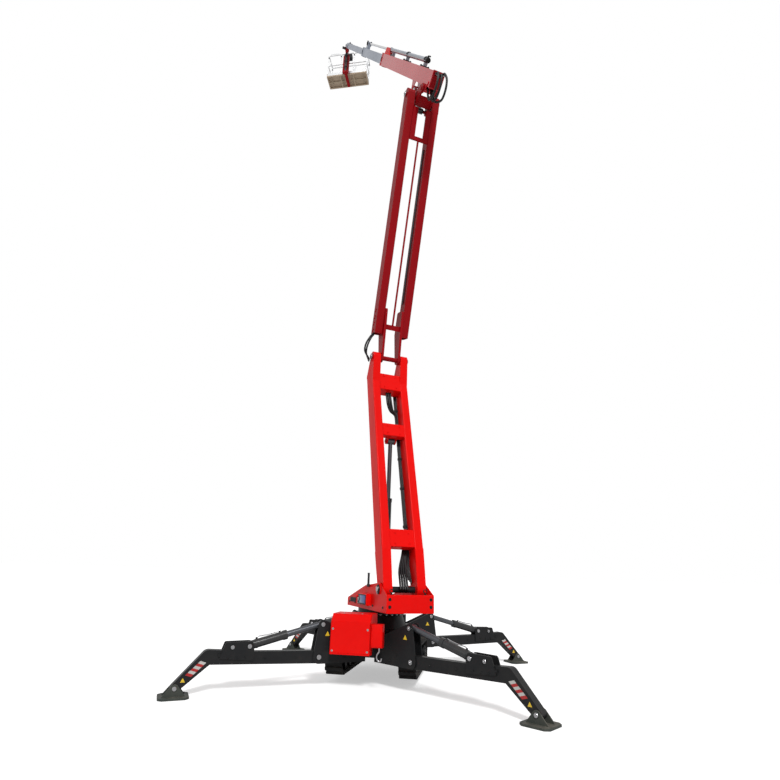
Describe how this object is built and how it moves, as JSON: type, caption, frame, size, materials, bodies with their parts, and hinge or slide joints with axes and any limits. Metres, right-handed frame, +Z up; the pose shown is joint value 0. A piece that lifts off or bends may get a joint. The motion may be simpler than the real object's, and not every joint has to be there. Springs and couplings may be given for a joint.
{
  "type": "tracked spider lift",
  "caption": "Tracked aerial work platform on four folding outriggers, with a two-part lifting arm, telescopic boom and basket",
  "frame": {"origin": "On the ground under the slewing axis, with the outrigger pads resting on the ground plane", "axes": "+Z up, +X along the tracks away from the engine cover's end, +Y to the left of +X"},
  "size_m": [7.5148, 5.7713, 19.9397],
  "materials": {
    "body_red": "gloss red paint",
    "chassis_black": "satin black paint",
    "pad_grey": "worn dark paint",
    "track_rubber": "dusty black rubber",
    "boom_steel": "blue grey paint",
    "pin_steel": "turned steel",
    "rod_chrome": "hard chrome",
    "ram_black": "gloss black paint",
    "basket_alloy": "drawn aluminium",
    "floor_tan": "plain board",
    "engine_iron": "painted casting",
    "casing_grey": "moulded casing"
  },
  "bodies": {
    "chassis": {"chassis_frame": "chassis_black", "pedestal": "chassis_black", "slew_ring": "pin_steel", "track_left": "track_rubber", "track_right": "track_rubber", "track_carriage_left": "chassis_black", "track_carriage_right": "chassis_black", "engine_cover": "body_red", "engine_block": "engine_iron", "side_box": "body_red", "oil_tank": "chassis_black"},
    "turret": {"turret_base": "body_red", "turret_cheek_left": "body_red", "turret_cheek_right": "body_red", "arm_pin": "pin_steel", "control_cabinet": "body_red"},
    "lower_arm": {"lower_rail_left": "body_red", "lower_rail_right": "body_red", "lower_crossbeam_1": "body_red", "lower_crossbeam_2": "body_red", "lower_crossbeam_3": "body_red", "elbow_pin": "pin_steel"},
    "lift_barrel": {"lift_barrel": "ram_black"},
    "lift_rod": {"lift_rod": "rod_chrome"},
    "upper_arm": {"upper_rail_left": "body_red", "upper_rail_right": "body_red", "upper_crosshead": "body_red", "service_tube": "boom_steel"},
    "head": {"head_bracket": "body_red"},
    "boom": {"boom_outer": "body_red", "telescope_barrel": "boom_steel"},
    "boom_barrel": {"boom_barrel": "ram_black"},
    "boom_rod": {"boom_rod": "rod_chrome"},
    "boom_middle": {"boom_middle": "boom_steel", "telescope_rod": "rod_chrome"},
    "boom_tip": {"boom_tip": "boom_steel"},
    "level_bracket": {"level_bracket": "body_red"},
    "basket": {"basket_mast": "body_red", "basket_floor": "floor_tan", "basket_rails": "basket_alloy", "basket_console": "casing_grey"},
    "gate": {"basket_gate": "basket_alloy"},
    "leg_front_left": {"leg_front_left": "chassis_black", "pad_front_left": "pad_grey"},
    "leg_barrel_front_left": {"leg_barrel_front_left": "ram_black"},
    "leg_rod_front_left": {"leg_rod_front_left": "rod_chrome"},
    "leg_front_right": {"leg_front_right": "chassis_black", "pad_front_right": "pad_grey"},
    "leg_barrel_front_right": {"leg_barrel_front_right": "ram_black"},
    "leg_rod_front_right": {"leg_rod_front_right": "rod_chrome"},
    "leg_rear_left": {"leg_rear_left": "chassis_black", "pad_rear_left": "pad_grey"},
    "leg_barrel_rear_left": {"leg_barrel_rear_left": "ram_black"},
    "leg_rod_rear_left": {"leg_rod_rear_left": "rod_chrome"},
    "leg_rear_right": {"leg_rear_right": "chassis_black", "pad_rear_right": "pad_grey"},
    "leg_barrel_rear_right": {"leg_barrel_rear_right": "ram_black"},
    "leg_rod_rear_right": {"leg_rod_rear_right": "rod_chrome"}
  },
  "joints": [
    {"name": "turret_yaw", "type": "hinge", "parent": "chassis", "child": "turret", "pos_m": [0, 0, 0.893], "axis": [0, 0, 1], "range_deg": [-210.8, 149.2]},
    {"name": "lower_arm_lift", "type": "hinge", "parent": "turret", "child": "lower_arm", "pos_m": [-0.66999, -0.39939, 1.17], "axis": [-0.512, 0.859, 0], "range_deg": [0, 75.6]},
    {"name": "lift_barrel_swing", "type": "hinge", "parent": "turret", "child": "lift_barrel", "pos_m": [-0.0859, -0.0512, 1.052], "axis": [-0.512, 0.859, 0], "range_deg": [-0.01, 88.88]},
    {"name": "lift_rod_slide", "type": "slide", "parent": "lift_barrel", "child": "lift_rod", "axis": [-0.03, -0.0179, 0.9994], "range_m": [-0.71772, 0.0001]},
    {"name": "upper_arm_fold", "type": "hinge", "parent": "lower_arm", "child": "upper_arm", "pos_m": [-0.01217, -0.00725, 4.89662], "axis": [-0.512, 0.859, 0], "range_deg": [-147.71, 0.01]},
    {"name": "head_level", "type": "hinge", "parent": "upper_arm", "child": "head", "pos_m": [-1.16037, -0.69172, 9.57209], "axis": [-0.512, 0.859, 0], "range_deg": [-0.01, 72.11]},
    {"name": "boom_lift", "type": "hinge", "parent": "head", "child": "boom", "pos_m": [-1.42665, -0.85045, 9.44709], "axis": [-0.512, 0.859, 0], "range_deg": [-10, 52]},
    {"name": "boom_barrel_swing", "type": "hinge", "parent": "head", "child": "boom_barrel", "pos_m": [-1.06589, -0.6354, 9.42209], "axis": [-0.512, 0.859, 0], "range_deg": [-14.28, 74.24]},
    {"name": "boom_rod_slide", "type": "slide", "parent": "boom_barrel", "child": "boom_rod", "axis": [0.2086, 0.1244, 0.9701], "range_m": [-0.2528, 0.0487]},
    {"name": "middle_section_slide", "type": "slide", "parent": "boom", "child": "boom_middle", "axis": [0.4927, 0.2937, 0.8192], "range_m": [-2.9, 0]},
    {"name": "tip_section_slide", "type": "slide", "parent": "boom_middle", "child": "boom_tip", "axis": [0.4927, 0.2937, 0.8192], "range_m": [-2.9, 0]},
    {"name": "basket_level", "type": "hinge", "parent": "boom_tip", "child": "level_bracket", "pos_m": [4.60519, 2.74524, 19.78973], "axis": [-0.512, 0.859, 0], "range_deg": [-52, 10]},
    {"name": "basket_rotate", "type": "hinge", "parent": "level_bracket", "child": "basket", "pos_m": [4.70826, 2.80669, 19.78973], "axis": [0, 0, 1], "range_deg": [-60, 60]},
    {"name": "gate_swing", "type": "hinge", "parent": "basket", "child": "gate", "pos_m": [5.33064, 2.61852, 19.18973], "axis": [0, 0, 1], "range_deg": [0, 90]},
    {"name": "leg_fold_front_left", "type": "hinge", "parent": "chassis", "child": "leg_front_left", "pos_m": [1.03305, 0.62458, 0.36], "axis": [0.8321, -0.5547, 0], "range_deg": [0, 68]},
    {"name": "leg_barrel_swing_front_left", "type": "hinge", "parent": "leg_front_left", "child": "leg_barrel_front_left", "pos_m": [1.51564, 1.34846, 0.505], "axis": [0.8321, -0.5547, 0], "range_deg": [-0.01, 11.85]},
    {"name": "leg_rod_slide_front_left", "type": "slide", "parent": "leg_barrel_front_left", "child": "leg_rod_front_left", "axis": [-0.5374, -0.8061, 0.2476], "range_m": [-0.39497, 0.0001]},
    {"name": "leg_fold_front_right", "type": "hinge", "parent": "chassis", "child": "leg_front_right", "pos_m": [1.03305, -0.62458, 0.36], "axis": [-0.8321, -0.5547, 0], "range_deg": [0, 68]},
    {"name": "leg_barrel_swing_front_right", "type": "hinge", "parent": "leg_front_right", "child": "leg_barrel_front_right", "pos_m": [1.51564, -1.34846, 0.505], "axis": [-0.8321, -0.5547, 0], "range_deg": [-0.01, 11.85]},
    {"name": "leg_rod_slide_front_right", "type": "slide", "parent": "leg_barrel_front_right", "child": "leg_rod_front_right", "axis": [-0.5374, 0.8061, 0.2476], "range_m": [-0.39497, 0.0001]},
    {"name": "leg_fold_rear_left", "type": "hinge", "parent": "chassis", "child": "leg_rear_left", "pos_m": [-1.03305, 0.62458, 0.36], "axis": [0.8321, 0.5547, 0], "range_deg": [0, 68]},
    {"name": "leg_barrel_swing_rear_left", "type": "hinge", "parent": "leg_rear_left", "child": "leg_barrel_rear_left", "pos_m": [-1.51564, 1.34846, 0.505], "axis": [0.8321, 0.5547, 0], "range_deg": [-0.01, 11.85]},
    {"name": "leg_rod_slide_rear_left", "type": "slide", "parent": "leg_barrel_rear_left", "child": "leg_rod_rear_left", "axis": [0.5374, -0.8061, 0.2476], "range_m": [-0.39497, 0.0001]},
    {"name": "leg_fold_rear_right", "type": "hinge", "parent": "chassis", "child": "leg_rear_right", "pos_m": [-1.03305, -0.62458, 0.36], "axis": [-0.8321, 0.5547, 0], "range_deg": [0, 68]},
    {"name": "leg_barrel_swing_rear_right", "type": "hinge", "parent": "leg_rear_right", "child": "leg_barrel_rear_right", "pos_m": [-1.51564, -1.34846, 0.505], "axis": [-0.8321, 0.5547, 0], "range_deg": [-0.01, 11.85]},
    {"name": "leg_rod_slide_rear_right", "type": "slide", "parent": "leg_barrel_rear_right", "child": "leg_rod_rear_right", "axis": [0.5374, 0.8061, 0.2476], "range_m": [-0.39497, 0.0001]}
  ],
  "couplings": [
    {"joint": "lift_barrel_swing", "follows": "lower_arm_lift", "ratio": 1.1756},
    {"joint": "lift_rod_slide", "follows": "lower_arm_lift", "m_per_rad": -0.54387},
    {"joint": "upper_arm_fold", "follows": "lower_arm_lift", "ratio": -1.9537},
    {"joint": "head_level", "follows": "lower_arm_lift", "ratio": 0.9537},
    {"joint": "boom_barrel_swing", "follows": "boom_lift", "ratio": 1.4275},
    {"joint": "boom_rod_slide", "follows": "boom_lift", "m_per_rad": -0.27843},
    {"joint": "tip_section_slide", "follows": "middle_section_slide", "ratio": 1},
    {"joint": "basket_level", "follows": "boom_lift", "ratio": -1},
    {"joint": "leg_barrel_swing_front_left", "follows": "leg_fold_front_left", "ratio": 0.17405},
    {"joint": "leg_rod_slide_front_left", "follows": "leg_fold_front_left", "m_per_rad": -0.33271},
    {"joint": "leg_barrel_swing_front_right", "follows": "leg_fold_front_right", "ratio": 0.17405},
    {"joint": "leg_rod_slide_front_right", "follows": "leg_fold_front_right", "m_per_rad": -0.33271},
    {"joint": "leg_barrel_swing_rear_left", "follows": "leg_fold_rear_left", "ratio": 0.17405},
    {"joint": "leg_rod_slide_rear_left", "follows": "leg_fold_rear_left", "m_per_rad": -0.33271},
    {"joint": "leg_barrel_swing_rear_right", "follows": "leg_fold_rear_right", "ratio": 0.17405},
    {"joint": "leg_rod_slide_rear_right", "follows": "leg_fold_rear_right", "m_per_rad": -0.33271}
  ]
}
